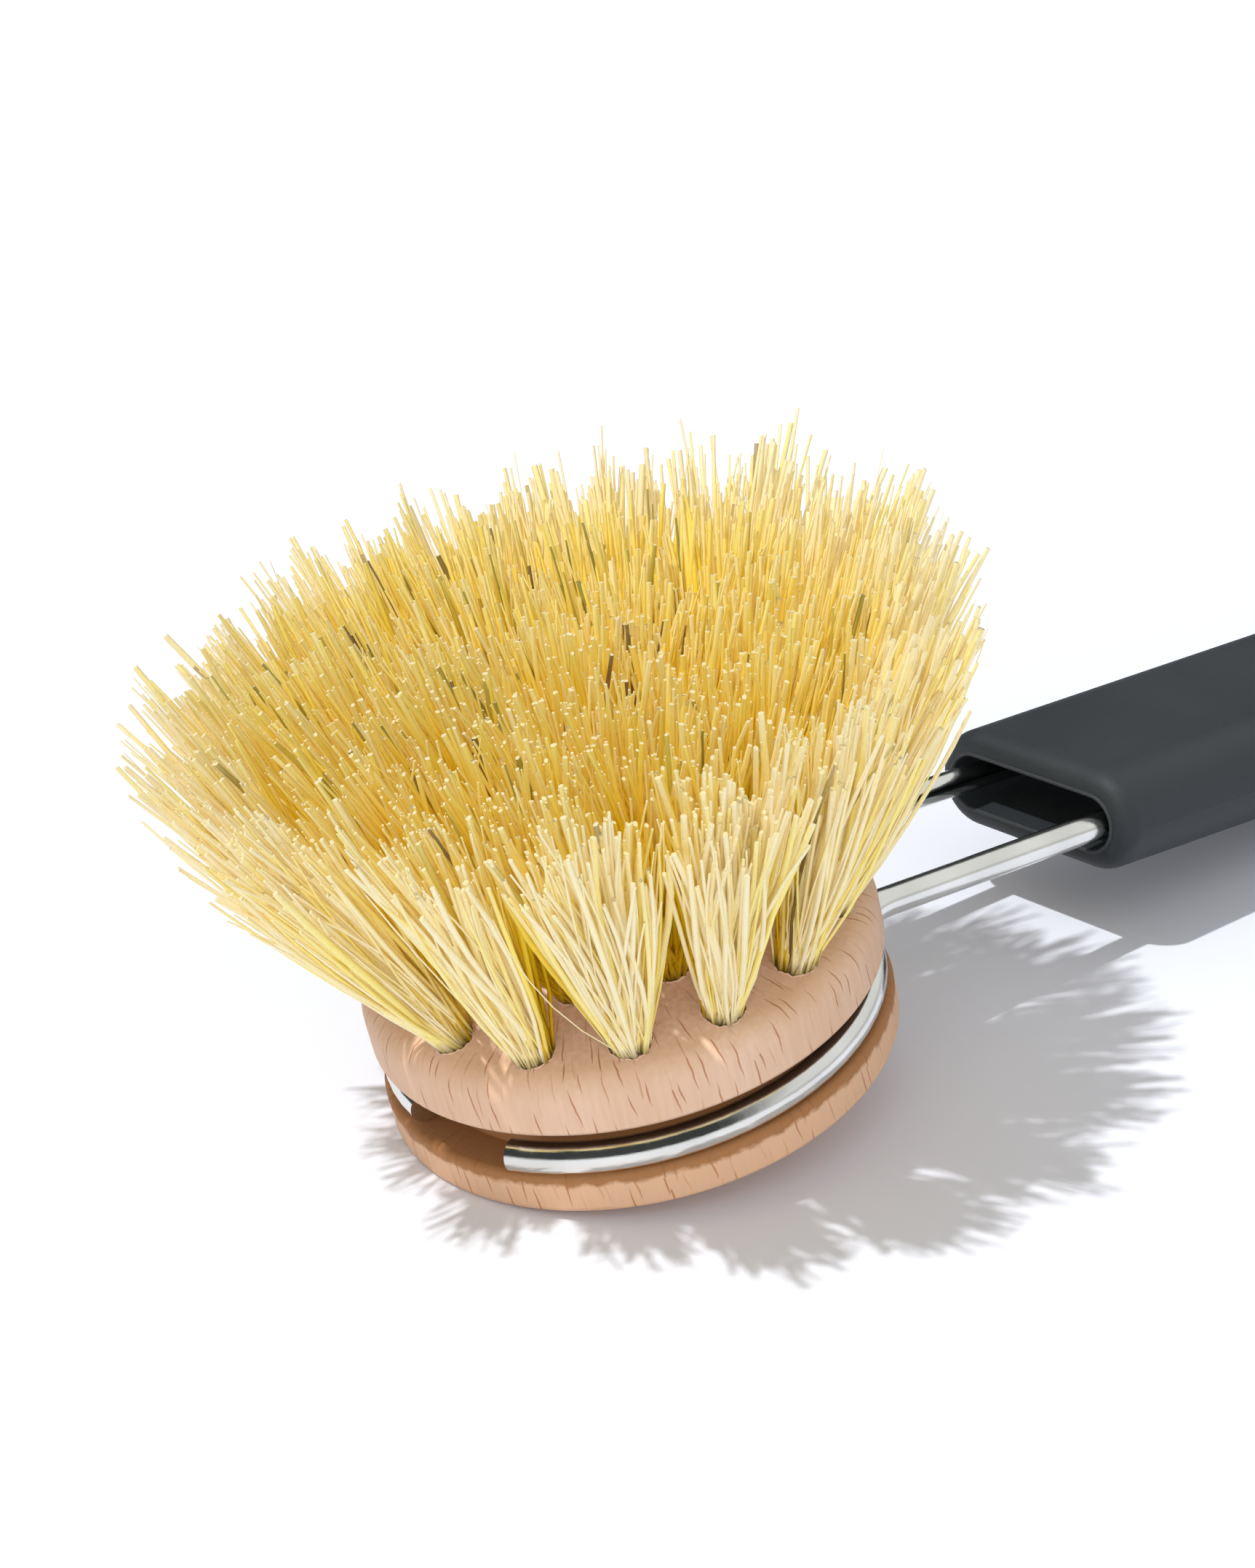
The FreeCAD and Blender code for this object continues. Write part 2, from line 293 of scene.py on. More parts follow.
class GripSettings(bpy.types.PropertyGroup):
    """Finish of the silicone sleeve."""

    mouth_width: length("Mouth width", "Width of the pocket at the mouth", 0.02295)
    mouth_height: length("Mouth height", "Height of the pocket at the mouth", 0.0062)
    lip_bead: length("Lip bead", "Radius of the fine moulded lip round the mouth", 0.00022)
    silicone: colour("Silicone", "Dark moulded silicone", 0.021, 0.0255, 0.029)
    worn: colour("Worn silicone", "Paler, rubbed silicone", 0.032, 0.038, 0.043)
    # Partly wear, partly painted highlight: the lip's paler silicone also stands in for the light
    # caught along the lip
    lip: colour("Lip", "Rubbed silicone of the lip", 0.042, 0.046, 0.048)


class StageSettings(bpy.types.PropertyGroup):
    """Floor, light and camera."""

    floor: colour("Floor", "Plain white floor", 0.812, 0.838, 0.915)
    floor_size: length("Floor size", "Side of the square floor", 12.0)
    sun_strength: strength("Sun strength", "Strength of the light that throws the shadow", 2.3)
    sun_width: angle_setting("Sun width", "A wider sun has a softer shadow", math.radians(1.4))
    sky_strength: strength("Sky strength", "Strength of the even light from all round", 0.42)
    fill_strength: strength("Fill strength", "Strength of the light that throws no shadow", 1.06)
    fill_width: angle_setting("Fill width", "How wide the soft light looks", math.radians(60))
    bounces: IntProperty(
        name="Bounces",
        description="How often light passes on between the fibres",
        min=1,
        default=8,
    )
    lens: FloatProperty(
        name="Lens",
        description="Focal length of the camera, in millimetres",
        default=66.79,
    )


class NodeSheet:
    """One node tree, and short ways to add nodes to it."""

    def __init__(self, tree):
        self.tree = tree
        self.seed = 0
        self.count = 0
        self.draws = 0

    def add(self, kind, feeds=None, **settings):
        """A node with its settings, fed by values or by other nodes."""
        node = self.tree.nodes.new(kind)
        for setting, value in settings.items():
            setattr(node, setting, value)
        for socket, value in (feeds or {}).items():
            self.feed(node.inputs[socket], value)
        return node

    def feed(self, socket, value):
        """Links a socket, or sets its value."""
        if isinstance(value, bpy.types.NodeSocket):
            self.tree.links.new(value, socket)
        else:
            socket.default_value = value

    def number(self, operation, *values):
        """One number worked out from others."""
        node = self.add("ShaderNodeMath", dict(enumerate(values)), operation=operation)
        return node.outputs[0]

    def total(self, *values):
        """Sum of several numbers."""
        result = values[0]
        for value in values[1:]:
            result = self.number("ADD", result, value)
        return result

    def product(self, *values):
        """Product of several numbers."""
        result = values[0]
        for value in values[1:]:
            result = self.number("MULTIPLY", result, value)
        return result

    def vector(self, operation, *values):
        """One vector worked out from others."""
        node = self.add("ShaderNodeVectorMath", operation=operation)
        for place, value in enumerate(values):
            if operation == "SCALE" and place == 1:
                self.feed(node.inputs["Scale"], value)
            else:
                self.feed(node.inputs[place], value)
        return node.outputs["Vector"]

    def joined(self, x, y, z):
        """A vector from three numbers."""
        return self.add("ShaderNodeCombineXYZ", {0: x, 1: y, 2: z}).outputs[0]

    def parts(self, vector):
        """The three numbers of a vector."""
        return self.add("ShaderNodeSeparateXYZ", {0: vector}).outputs

    def ranged(self, value, low, high, new_low=0.0, new_high=1.0):
        """A number moved from one range to another, and kept in it."""
        feeds = {0: value, 1: low, 2: high, 3: new_low, 4: new_high}
        return self.add("ShaderNodeMapRange", feeds).outputs[0]

    def mixed(self, factor, first, second, blend="MIX"):
        """A colour between two colours."""
        node = self.add("ShaderNodeMix", data_type="RGBA", blend_type=blend)
        self.feed(node.inputs[0], factor)
        self.feed(node.inputs[6], first)
        self.feed(node.inputs[7], second)
        return node.outputs[2]

    def noise(self, vector, scale, detail=2.0, roughness=0.5):
        """A cloudy number from 0 to 1."""
        feeds = {
            "Vector": vector,
            "Scale": scale,
            "Detail": detail,
            "Roughness": roughness,
        }
        return self.add("ShaderNodeTexNoise", feeds).outputs[0]

    def ramp(self, factor, stops):
        """A colour from a row of stops, each a place and a colour."""
        node = self.add("ShaderNodeValToRGB", {0: factor})
        elements = node.color_ramp.elements
        while len(elements) < len(stops):
            elements.new(1.0)
        for element, (place, tint) in zip(elements, stops):
            element.position = place
            element.color = opaque(tint)
        return node.outputs[0]

    def draw(self, low, high):
        """A random number for each fibre, the same in each run."""
        self.draws += 1
        feeds = {0: self.seed, 1: self.draws}
        seed = self.add("FunctionNodeIntegerMath", feeds, operation="ADD")
        feeds = {2: low, 3: high, "ID": self.count, "Seed": seed.outputs[0]}
        return self.add("FunctionNodeRandomValue", feeds, data_type="FLOAT").outputs[1]

    def reach_squared(self, across, sideways):
        """Squared distance of a point from the upright axis."""
        return self.total(self.product(across, across), self.product(sideways, sideways))

    def dome(self, top, radius, across, sideways):
        """Height of a dome over a point of its plan."""
        reach = self.reach_squared(across, sideways)
        rise = self.number("SQRT", self.number("SUBTRACT", self.product(radius, radius), reach))
        return self.total(self.number("SUBTRACT", top, radius), rise)


def opaque(tint):
    """A colour with its alpha."""
    return (tint[0], tint[1], tint[2], 1.0)


def new_material(name):
    """A material with only its shader, and the sheet to add nodes on."""
    material = bpy.data.materials.new(name)
    material.use_nodes = True
    sheet = NodeSheet(material.node_tree)
    shader = material.node_tree.nodes["Principled BSDF"]
    return material, sheet, shader


def finish_surface(sheet, shader, tint, roughness, height, relief):
    """Feeds a shader its colour, its roughness and a fine relief of the given depth."""
    sheet.feed(shader.inputs["Base Color"], tint)
    sheet.feed(shader.inputs["Roughness"], roughness)
    bump = sheet.add("ShaderNodeBump", {"Strength": 1.0, "Distance": relief, "Height": height})
    sheet.feed(shader.inputs["Normal"], bump.outputs[0])


def head_coordinates(sheet):
    """Points of the head in its own axes, with the spin axis as the third."""
    feeds = {
        "Vector": sheet.add("ShaderNodeTexCoord").outputs["Object"],
        "Location": head_centre,
        "Rotation": (0, -head_tilt, 0),
    }
    return sheet.add("ShaderNodeMapping", feeds, vector_type="TEXTURE").outputs[0]


def fibre_finish(bristles):
    """Pale plant fibre, with a few green and brown strands, painted light and shade by how far inside
    the brush a fibre stands, and painted shade on its feet, its low inner parts and its upward cut
    ends.
    """
    material, sheet, shader = new_material("plant_fibre")
    tone = sheet.add("ShaderNodeAttribute", attribute_name="tone").outputs["Fac"]
    along = sheet.add("ShaderNodeAttribute", attribute_name="along").outputs["Fac"]
    point = sheet.add("ShaderNodeTexCoord").outputs["Object"]
    inside = sheet.add("ShaderNodeAttribute", attribute_name="inside").outputs["Fac"]
    # Painted light and shade: fibres near the outside of the brush take the paler ramp of lit fibre,
    # and those inside take the deeper ramp of shaded fibre
    shaded_fibre_ramp = sheet.ramp(tone, (
        (0.0, bristles.brown),
        (0.006, bristles.brown),
        (0.009, bristles.green),
        (0.020, bristles.green),
        (0.04, bristles.gold),
        (0.3, bristles.straw),
        (0.7, bristles.pale),
        (1.0, bristles.straw),
    ))
    lit_fibre_ramp = sheet.ramp(tone, (
        (0.0, bristles.brown),
        (0.003, bristles.brown),
        (0.006, bristles.green),
        (0.010, bristles.gold),
        (0.03, bristles.straw),
        (0.14, bristles.straw),
        (0.42, bristles.pale),
        (1.0, bristles.pale),
    ))
    strand = sheet.mixed(inside, lit_fibre_ramp, shaded_fibre_ramp)
    cloud = sheet.noise(point, scale=260.0, detail=3.0)
    stain = sheet.ranged(cloud, 0.45, 0.72, 0.0, 0.25)
    stained = sheet.mixed(stain, strand, opaque(bristles.gold))
    # Painted light: inner fibres are tinted golden as the light passed on between them would tint them
    deep = sheet.product(inside, sheet.ranged(along, 0.66, 1.0, 1.0, 0.25))
    painted_bounce = sheet.mixed(deep, stained, opaque(bristles.depth), "MULTIPLY")
    # Painted shade: inner fibres darken low down between the tufts
    shade = sheet.product(inside, sheet.ranged(along, 0.25, 0.62, 0.9, 0.0))
    shaded = sheet.mixed(shade, painted_bounce, opaque(bristles.low), "MULTIPLY")
    # Paler towards the tips, less so for the fibres inside the brush
    tip_paling = sheet.product(
        sheet.ranged(along, 0.7, 1.0, 0.0, 0.4),
        sheet.ranged(inside, 0.0, 1.0, 1.0, 0.25),
    )
    paled_tips = sheet.mixed(tip_paling, shaded, opaque(bristles.pale))
    # Painted shade: the upward-facing cut ends take a darker colour, as they catch the most light
    normal = sheet.add("ShaderNodeNewGeometry").outputs["Normal"]
    facing = sheet.add("ShaderNodeVectorMath", {0: normal, 1: head_axis}, operation="DOT_PRODUCT")
    upward = facing.outputs["Value"]
    cap_shade_mask = sheet.product(sheet.ranged(upward, 0.6, 0.72), sheet.ranged(along, 0.97, 0.99))
    caps_shaded = sheet.mixed(cap_shade_mask, paled_tips, opaque(bristles.cap_shade))
    # Painted shade: the fibres darken towards their feet, deep in the hole
    tint = sheet.mixed(sheet.ranged(along, 0.0, 0.07, 0.75, 0.0), caps_shaded, opaque(bristles.foot))
    across, sideways, upright = sheet.parts(head_coordinates(sheet))
    long_point = sheet.joined(across, sideways, sheet.product(upright, 0.06))
    streaks = sheet.noise(long_point, scale=8000.0)
    streak = sheet.ranged(streaks, 0.35, 0.65, 0.16, 0.0)
    streaked = sheet.mixed(streak, tint, opaque(bristles.gold), "MULTIPLY")
    roughness = sheet.ranged(cloud, 0.3, 0.7, 0.7, 0.9)
    finish_surface(sheet, shader, streaked, roughness, streaks, relief=0.00005)
    shader.inputs["Specular IOR Level"].default_value = 0.12
    return material


def beech_finish(wood):
    """Turned beech: grain along the head's axis, short brown flecks, painted shade in the groove and
    painted light on the crown.
    """
    material, sheet, shader = new_material("turned_beech")
    point = head_coordinates(sheet)
    x, y, z = sheet.parts(point)
    reach = sheet.number("SQRT", sheet.reach_squared(x, y))
    turn = sheet.number("ARCTAN2", sheet.product(y, -1.0), sheet.product(x, -1.0))
    arc = sheet.product(turn, head_radius)
    fleck = beech_flecks(sheet, wood, arc, sheet.number("SUBTRACT", z, reach))
    fleck = sheet.product(fleck, sheet.ranged(reach, *fleck_fade, 0.25, 1.0))
    long_point = sheet.joined(x, y, sheet.product(z, 0.12))
    broad = sheet.noise(long_point, scale=90.0, detail=3.0)
    longer_point = sheet.joined(x, y, sheet.product(z, 0.06))
    fine = sheet.noise(longer_point, scale=1900.0, detail=3.0)
    base = sheet.mixed(sheet.ranged(broad, 0.3, 0.7), opaque(wood.pale), opaque(wood.warm))
    # Painted light: high on the crown the wood turns paler, standing in for the light that falls there
    # between the tufts
    painted_crown_light = sheet.mixed(sheet.ranged(z, *crown_light_edge, 0.0, 0.95), base, opaque(wood.crown))
    flanged = sheet.mixed(sheet.ranged(z, *flange_edge, 0.0, 0.85), painted_crown_light, opaque(wood.flange))
    grained = sheet.mixed(sheet.ranged(fine, 0.35, 0.7, 0.0, 0.6), flanged, opaque(wood.warm))
    flecked = sheet.mixed(sheet.product(fleck, 0.95), grained, opaque(wood.fleck))
    # Painted shade and shadow: the groove, the flange top under the wire and the block's underside
    # turn dark brown, with a ragged lower edge
    torn = sheet.noise(point, scale=600.0, detail=4.0, roughness=0.6)
    shade_edge_height = sheet.total(z, sheet.ranged(torn, 0.25, 0.75, -groove_ragged, groove_ragged))
    groove_shade_mask = sheet.product(sheet.ranged(shade_edge_height, *groove_floor), sheet.ranged(z, *groove_ceiling))
    shade = sheet.ranged(z, *groove_shade)
    groove_shade_tint = sheet.mixed(shade, opaque(wood.groove), opaque(wood.groove_roof_shade))
    tint = sheet.mixed(sheet.product(groove_shade_mask, 0.95), flecked, groove_shade_tint)
    height = sheet.total(sheet.product(fine, 0.6), sheet.product(fleck, -0.4))
    roughness = sheet.ranged(fine, 0.3, 0.7, 0.5, 0.72)
    finish_surface(sheet, shader, tint, roughness, height, relief=0.00008)
    shader.inputs["Specular IOR Level"].default_value = 0.3
    return material


def beech_flecks(sheet, wood, arc, rise):
    """Thin flecks along the grain, one in each cell of the turned surface."""
    cell_arc = sheet.number("DIVIDE", arc, wood.fleck_pitch)
    cell_rise = sheet.number("DIVIDE", rise, wood.fleck_rise)
    feeds = {"Vector": sheet.joined(cell_arc, cell_rise, 0.0), "Scale": 1.0}
    cells = sheet.add("ShaderNodeTexVoronoi", feeds, voronoi_dimensions="2D").outputs
    middle_arc, middle_rise, _ = sheet.parts(cells["Position"])
    long, leaning, strong = sheet.parts(cells["Color"])
    beside = sheet.product(sheet.number("SUBTRACT", cell_arc, middle_arc), wood.fleck_pitch)
    above = sheet.product(sheet.number("SUBTRACT", cell_rise, middle_rise), wood.fleck_rise)
    half_length = sheet.product(sheet.ranged(long, 0.0, 1.0, 0.22, 0.5), wood.fleck_length)
    lean = sheet.product(sheet.ranged(leaning, 0.0, 1.0, 0.0, 0.18), above)
    unsteady = sheet.noise(sheet.joined(arc, rise, 0.0), scale=450.0)
    bent = sheet.total(beside, lean, sheet.ranged(unsteady, 0.2, 0.8, -fleck_waver, fleck_waver))
    share_along = sheet.number("DIVIDE", above, half_length)
    lens = sheet.number("SUBTRACT", 1.0, sheet.product(share_along, share_along))
    half_width = sheet.product(lens, wood.fleck_width, 0.5)
    margin = sheet.number("SUBTRACT", half_width, sheet.number("ABSOLUTE", bent))
    mark = sheet.ranged(margin, *fleck_blur)
    return sheet.product(mark, sheet.ranged(strong, 0.1, 0.6, 0.2, 1.0))


def wire_finish(metal):
    """Polished steel wire, with faint drawing marks."""
    material, sheet, shader = new_material("polished_wire")
    point = sheet.add("ShaderNodeTexCoord").outputs["Object"]
    marks = sheet.noise(point, scale=900.0, detail=4.0)
    cloud = sheet.noise(point, scale=120.0)
    dull = tuple(0.86 * part for part in metal.wire)
    tint = sheet.mixed(sheet.ranged(cloud, 0.35, 0.7), opaque(metal.wire), opaque(dull))
    roughness = sheet.ranged(marks, 0.3, 0.7, 0.10, 0.20)
    finish_surface(sheet, shader, tint, roughness, marks, relief=0.000012)
    shader.inputs["Metallic"].default_value = 1.0
    return material


def anchor_finish(metal):
    """Plain rolled strip, a little dull."""
    material, sheet, shader = new_material("rolled_strip")
    point = sheet.add("ShaderNodeTexCoord").outputs["Object"]
    rolled = sheet.noise(point, scale=1800.0, detail=3.0)
    dull = tuple(0.7 * part for part in metal.anchor)
    tint = sheet.mixed(sheet.ranged(rolled, 0.3, 0.7), opaque(metal.anchor), opaque(dull))
    roughness = sheet.ranged(rolled, 0.3, 0.7, 0.3, 0.5)
    finish_surface(sheet, shader, tint, roughness, rolled, relief=0.00002)
    shader.inputs["Metallic"].default_value = 1.0
    return material


def silicone_finish(name, dark, worn):
    """Dark matt silicone with a fine moulded grain."""
    material, sheet, shader = new_material(name)
    point = sheet.add("ShaderNodeTexCoord").outputs["Object"]
    cloud = sheet.noise(point, scale=45.0, detail=3.0)
    grain = sheet.noise(point, scale=5200.0)
    tint = sheet.mixed(sheet.ranged(cloud, 0.3, 0.75), opaque(dark), opaque(worn))
    roughness = sheet.ranged(cloud, 0.3, 0.7, 0.52, 0.64)
    finish_surface(sheet, shader, tint, roughness, grain, relief=0.00003)
    shader.inputs["Specular IOR Level"].default_value = 0.36
    return material


def floor_finish(stage):
    """White floor that keeps the shadow."""
    material, _, shader = new_material("white_floor")
    shader.inputs["Base Color"].default_value = opaque(stage.floor)
    shader.inputs["Roughness"].default_value = 0.9
    shader.inputs["Specular IOR Level"].default_value = 0.0
    return material


def dress(node, material):
    """Gives a CAD node its finished material."""
    mesh = frame["nodes"][node].data
    mesh.materials.clear()
    mesh.materials.append(material)


def new_tree(name, inputs, output):
    """A node tree with named inputs and one output, its sheet, and what it is given."""
    tree = bpy.data.node_groups.new(name, "GeometryNodeTree")
    for kind, labels in inputs.items():
        for label in labels:
            tree.interface.new_socket(name=label, in_out="INPUT", socket_type=kind)
    tree.interface.new_socket(name=output, in_out="OUTPUT", socket_type="NodeSocketGeometry")
    sheet = NodeSheet(tree)
    return tree, sheet, sheet.add("NodeGroupInput").outputs


def end_tree(sheet, geometry, material):
    """Ends a node tree: one plain mesh, covered in its material."""
    real = sheet.add("GeometryNodeRealizeInstances", {0: geometry})
    covered = sheet.add("GeometryNodeSetMaterial", {0: real.outputs[0], "Material": material})
    sheet.add("NodeGroupOutput", {0: covered.outputs[0]})


fibre_inputs = {
    "NodeSocketInt": ("Fibres", "Seed"),
    "NodeSocketFloat": (
        "Fibre Width",
        "Width Spread",
        "Hole Reach",
        "Foot Reach",
        "Crown Top",
        "Crown Radius",
        "Tip Reach",
        "Tip Depth",
        "Tip Width",
        "Brush Reach",
        "Trim Top",
        "Trim Radius",
        "Tip Scatter",
        "Shortfall",
        "Clump",
        "Clump Size",
        "Sway",
        "Crossing",
        "Stray Share",
    ),
    "NodeSocketMaterial": ("Fibre",),
}
# Form of one fibre: points along it, sides, thickness over width, and the share of it in the hole
fibre_points = 7
fibre_sides = 6
fibre_flatness = 0.7
bury_share = 0.12
# How far tips wander in and out of their tuft, as shares of its spread
tip_wander = 0.36
widest_spread = 1.06
stray_spread = 0.2
# How a stray fibre differs from the rest
stray_sway = 2.0
stray_thinness = 0.5
# Other differences from fibre to fibre
coarsest = 1.6
wave_share = 0.25
clump_rise = 3.0
clump_seed_step = 0.37
# Shares of the brush's squared reach between which tips stop being shaded by others, which sets how
# much painted light and shade the fibre colour takes
painted_shade_edge = (0.55, 0.82)


def fan_of_fibres():
    """Node tree that grows one tuft, with the head's axis upright and the tuft on its first side."""
    tree, sheet, given = new_tree("fan_of_fibres", fibre_inputs, "Tuft")
    sheet.seed = given["Seed"]
    sheet.count = sheet.add("GeometryNodeInputIndex").outputs[0]

    # Foot of each fibre, spread evenly over its hole
    turn = sheet.total(sheet.product(sheet.count, golden_turn), sheet.draw(-0.5, 0.5))
    ordered = sheet.number("DIVIDE", sheet.total(sheet.count, 0.5), given["Fibres"])
    spread = sheet.number("SQRT", ordered)
    hole = sheet.product(given["Hole Reach"], spread)
    foot_across = sheet.total(given["Foot Reach"], sheet.product(hole, sheet.number("COSINE", turn)))
    foot_sideways = sheet.product(hole, sheet.number("SINE", turn))
    foot_height = sheet.dome(given["Crown Top"], given["Crown Radius"], foot_across, foot_sideways)
    foot = sheet.joined(foot_across, foot_sideways, foot_height)

    # Tip of each fibre, on the trimmed curve
    stray = sheet.number("LESS_THAN", sheet.draw(0.0, 1.0), given["Stray Share"])
    wander = sheet.product(sheet.draw(-1.0, 1.0), given["Crossing"])
    tip_turn = sheet.total(turn, wander)
    tip_spread = sheet.total(spread, sheet.draw(-tip_wander, tip_wander))
    tip_spread = sheet.number("MINIMUM", sheet.number("MAXIMUM", tip_spread, 0.0), widest_spread)
    tip_spread = sheet.total(tip_spread, sheet.product(stray, stray_spread))
    depth = sheet.product(given["Tip Depth"], tip_spread, sheet.number("COSINE", tip_turn))
    tip_across = sheet.total(given["Tip Reach"], depth)
    tip_sideways = sheet.product(given["Tip Width"], tip_spread, sheet.number("SINE", tip_turn))
    lean_x, lean_y, lean_z = clump_lean(sheet, given, tip_across, tip_sideways)
    tip_across = sheet.total(tip_across, lean_x)
    tip_sideways = sheet.total(tip_sideways, lean_y)
    below = sheet.product(sheet.draw(-1.0, 0.0), sheet.draw(0.0, 1.0))
    uneven = sheet.total(below, sheet.draw(-0.05, 0.15))
    trimmed = sheet.dome(given["Trim Top"], given["Trim Radius"], tip_across, tip_sideways)
    scattered = sheet.product(uneven, given["Tip Scatter"])
    tip_height = sheet.total(trimmed, scattered, sheet.product(lean_z, clump_rise))
    whole = sheet.joined(tip_across, tip_sideways, tip_height)

    # A few fibres are much shorter, because all three draws have to be high for that
    lacking = sheet.product(
        given["Shortfall"],
        sheet.draw(0.0, 1.0),
        sheet.draw(0.0, 1.0),
        sheet.draw(0.0, 1.0),
    )
    grown_share = sheet.number("SUBTRACT", 1.0, lacking)
    rising = sheet.vector("SCALE", sheet.vector("SUBTRACT", whole, foot), grown_share)
    tip = sheet.vector("ADD", foot, rising)

    # What else differs from fibre to fibre
    bow = sheet.vector(
        "SCALE",
        sheet.joined(sheet.draw(-1.0, 1.0), sheet.draw(-1.0, 1.0), sheet.draw(-0.3, 0.3)),
        sheet.product(given["Sway"], sheet.total(1.0, sheet.product(stray, stray_sway))),
    )
    coarse = sheet.draw(0.0, coarsest)
    swell = sheet.number("SUBTRACT", sheet.product(coarse, coarse), 1.0)
    unlike = sheet.total(1.0, sheet.product(swell, given["Width Spread"]))
    thin = sheet.number("SUBTRACT", 1.0, sheet.product(stray, stray_thinness))
    width = sheet.product(given["Fibre Width"], unlike, thin)
    tone = sheet.draw(0.0, 1.0)
    twist = sheet.draw(0.0, math.pi)
    wave = sheet.vector(
        "SCALE",
        sheet.joined(sheet.draw(-1.0, 1.0), sheet.draw(-1.0, 1.0), 0.0),
        sheet.product(given["Sway"], wave_share),
    )
    # How far inside the brush a tip stands, which picks its fibre's painted light and shade
    outmost = sheet.product(given["Brush Reach"], given["Brush Reach"])
    outward = sheet.number("DIVIDE", sheet.reach_squared(tip_across, tip_sideways), outmost)
    inside = sheet.ranged(outward, *painted_shade_edge, 1.0, 0.0)

    # One straight strand for each foot, then bent to its own line
    geometry = sheet.add("GeometryNodePoints", {"Count": given["Fibres"]}).outputs[0]
    kept = (
        ("foot", "FLOAT_VECTOR", foot),
        ("tip", "FLOAT_VECTOR", tip),
        ("bow", "FLOAT_VECTOR", bow),
        ("width", "FLOAT", width),
        ("wave", "FLOAT_VECTOR", wave),
        ("twist", "FLOAT", twist),
        ("tone", "FLOAT", tone),
        ("inside", "FLOAT", inside),
    )
    for name, kind, value in kept:
        geometry = store(sheet, geometry, name, kind, value)
    strand = sheet.add("GeometryNodeCurvePrimitiveLine", {0: (0, 0, -bury_share), 1: (0, 0, 1)})
    strand = sheet.add("GeometryNodeResampleCurve", {0: strand.outputs[0], "Count": fibre_points})
    planted = sheet.add("GeometryNodeInstanceOnPoints", {
        "Points": geometry,
        "Instance": strand.outputs[0],
    })
    geometry = sheet.add("GeometryNodeRealizeInstances", {0: planted.outputs[0]}).outputs[0]
    along = sheet.parts(sheet.add("GeometryNodeInputPosition").outputs[0])[2]
    geometry = store(sheet, geometry, "along", "FLOAT", along)
    along = recall(sheet, "along", "FLOAT")
    start = recall(sheet, "foot", "FLOAT_VECTOR")
    way = sheet.vector("SUBTRACT", recall(sheet, "tip", "FLOAT_VECTOR"), start)
    straight = sheet.vector("ADD", start, sheet.vector("SCALE", way, along))
    belly = sheet.product(4.0, along, sheet.number("SUBTRACT", 1.0, along))
    belly = sheet.number("MAXIMUM", belly, 0.0)
    bowed = sheet.vector("SCALE", recall(sheet, "bow", "FLOAT_VECTOR"), belly)
    ripple = sheet.number("SINE", sheet.product(along, 2 * math.pi))
    waved = sheet.vector("SCALE", recall(sheet, "wave", "FLOAT_VECTOR"), ripple)
    line = sheet.vector("ADD", sheet.vector("ADD", straight, bowed), waved)
    geometry = sheet.add("GeometryNodeSetPosition", {0: geometry, "Position": line}).outputs[0]
    twisted = recall(sheet, "twist", "FLOAT")
    geometry = sheet.add("GeometryNodeSetCurveTilt", {0: geometry, "Tilt": twisted}).outputs[0]

    # Thinner in the hole and a little thinner at the tip, with a flattened section
    taper = sheet.ranged(along, 0.0, 0.35, 0.45, 0.62)
    blunt = sheet.ranged(along, 0.82, 1.0, 1.0, 0.82)
    radius = sheet.product(recall(sheet, "width", "FLOAT"), taper, blunt)
    round_section = sheet.add("GeometryNodeCurvePrimitiveCircle", {
        "Resolution": fibre_sides,
        "Radius": 1.0,
    })
    flat_section = sheet.add("GeometryNodeTransform", {
        0: round_section.outputs[0],
        "Scale": (1.0, fibre_flatness, 1.0),
    })
    swept = sheet.add("GeometryNodeCurveToMesh", {
        "Curve": geometry,
        "Profile Curve": flat_section.outputs[0],
        "Scale": radius,
        "Fill Caps": True,
    })
    geometry = sheet.add("GeometryNodeSetShadeSmooth", {0: swept.outputs[0]}).outputs[0]
    for name in ("foot", "tip", "bow", "wave", "width", "twist"):
        geometry = sheet.add("GeometryNodeRemoveAttribute", {0: geometry, "Name": name}).outputs[0]
    end_tree(sheet, geometry, given["Fibre"])
    return tree


def clump_lean(sheet, given, across, sideways):
    """How far the tips round one place lean together, as three lengths."""
    cell = sheet.number("DIVIDE", 1.0, given["Clump Size"])
    away = sheet.product(given["Seed"], clump_seed_step)
    point = sheet.joined(sheet.product(across, cell), sheet.product(sideways, cell), away)
    cloud = sheet.add("ShaderNodeTexNoise", {"Vector": point, "Scale": 1.0, "Detail": 1.0}).outputs[1]
    centred = sheet.vector("SUBTRACT", cloud, (0.5, 0.5, 0.5))
    return sheet.parts(sheet.vector("SCALE", centred, sheet.product(2.0, given["Clump"])))


def store(sheet, geometry, name, kind, value):
    """Keeps a value on the points, under a name."""
    feeds = {"Geometry": geometry, "Name": name, "Value": value}
    settings = {"data_type": kind, "domain": "POINT"}
    return sheet.add("GeometryNodeStoreNamedAttribute", feeds, **settings).outputs[0]


def recall(sheet, name, kind):
    """A value that was kept under a name."""
    return sheet.add("GeometryNodeInputNamedAttribute", {"Name": name}, data_type=kind).outputs[0]


